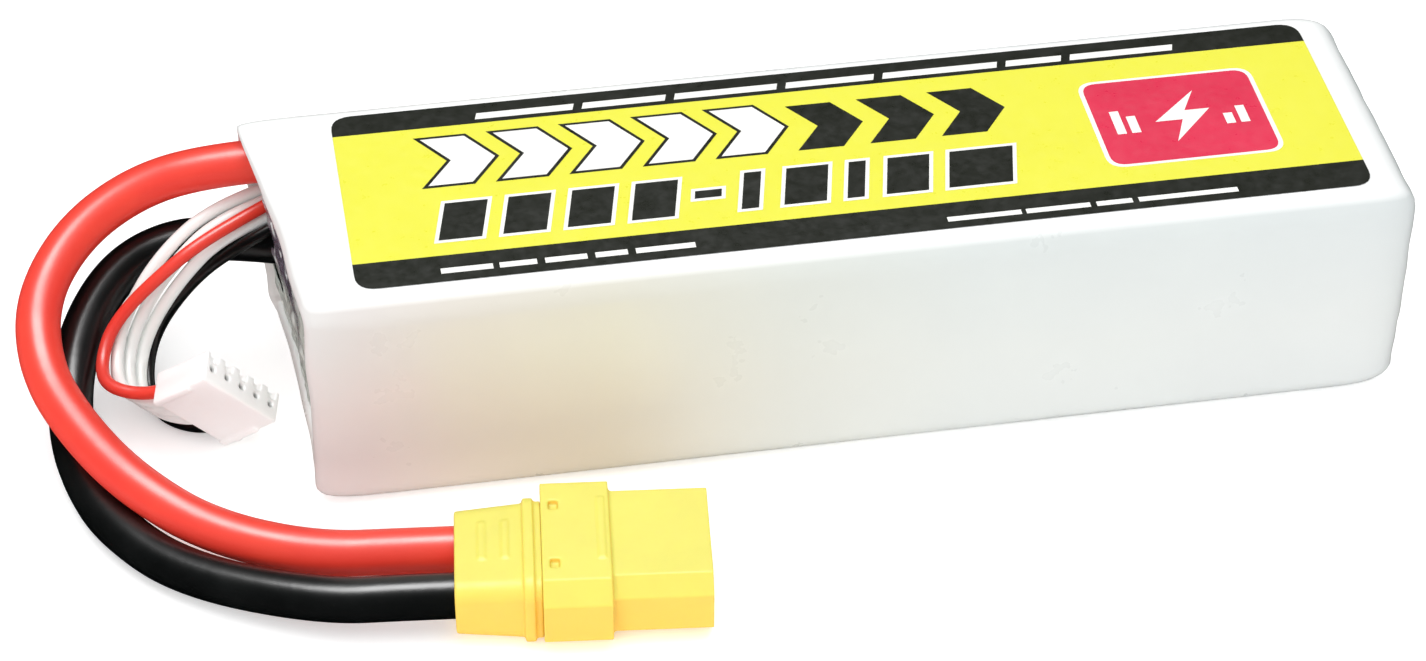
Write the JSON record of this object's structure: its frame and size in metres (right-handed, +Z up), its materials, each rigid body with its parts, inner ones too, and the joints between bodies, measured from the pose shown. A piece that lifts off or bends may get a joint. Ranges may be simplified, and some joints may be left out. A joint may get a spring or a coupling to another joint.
{
  "type": "lithium polymer battery pack",
  "caption": "Soft-case brick battery pack in heat-shrink film with two thick silicone leads to a capped two-pole plug and a thin-wire balance plug.",
  "frame": {"origin": "bottom centre of the shrink sleeve, on the surface the pack lies on", "axes": "+X along the pack away from the leads, +Y across it away from the side the plugs lie on, +Z up"},
  "size_m": [0.1757, 0.0728, 0.0323],
  "materials": {
    "sleeve_film": "satin white heat-shrink film",
    "label_print": "yellow printed film with black bands",
    "cell_foil": "matt laminate foil",
    "separator_foam": "thin foam",
    "guard_board": "glass-fibre sheet",
    "end_tape_film": "dark glossy tape",
    "circuit_board": "solder-masked board",
    "tab_nickel": "bare metal strip",
    "solder": "bright solder",
    "red_silicone": "satin silicone",
    "black_silicone": "satin silicone",
    "white_silicone": "satin silicone",
    "tinned_copper": "tinned strands",
    "plug_nylon": "satin yellow nylon",
    "contact_gold": "gold-plated",
    "balance_nylon": "milky white nylon",
    "terminal_tin": "tin-plated"
  },
  "bodies": {
    "pack": {"shrink_sleeve": "sleeve_film", "label": "label_print", "cell_1": "cell_foil", "cell_2": "cell_foil", "cell_3": "cell_foil", "cell_4": "cell_foil", "cell_pad_1": "separator_foam", "cell_pad_2": "separator_foam", "cell_pad_3": "separator_foam", "top_guard_plate": "guard_board", "bottom_guard_plate": "guard_board", "rear_pad": "separator_foam", "cell_1_positive_tab": "tab_nickel", "cell_1_negative_tab": "tab_nickel", "cell_2_positive_tab": "tab_nickel", "cell_2_negative_tab": "tab_nickel", "cell_3_positive_tab": "tab_nickel", "cell_3_negative_tab": "tab_nickel", "cell_4_positive_tab": "tab_nickel", "cell_4_negative_tab": "tab_nickel", "tab_solder_joints": "solder", "wiring_board": "circuit_board", "end_tape": "end_tape_film", "main_solder_joints": "solder", "balance_solder_joints": "solder", "positive_lead": "red_silicone", "negative_lead": "black_silicone", "positive_lead_ends": "tinned_copper", "negative_lead_ends": "tinned_copper", "connector_housing": "plug_nylon", "positive_contact": "contact_gold", "positive_contact_solder": "solder", "negative_contact": "contact_gold", "negative_contact_solder": "solder", "balance_wire_1": "red_silicone", "balance_wire_2": "white_silicone", "balance_wire_3": "white_silicone", "balance_wire_4": "white_silicone", "balance_wire_5": "black_silicone", "balance_wire_ends": "tinned_copper", "balance_plug_housing": "balance_nylon", "balance_contact_1": "terminal_tin", "balance_contact_2": "terminal_tin", "balance_contact_3": "terminal_tin", "balance_contact_4": "terminal_tin", "balance_contact_5": "terminal_tin"},
    "cap": {"connector_cap": "plug_nylon"}
  },
  "joints": [
    {"name": "cap_slide", "type": "slide", "parent": "pack", "child": "cap", "axis": [-0.9938, 0.1115, 0], "range_m": [0, 0.004]}
  ]
}
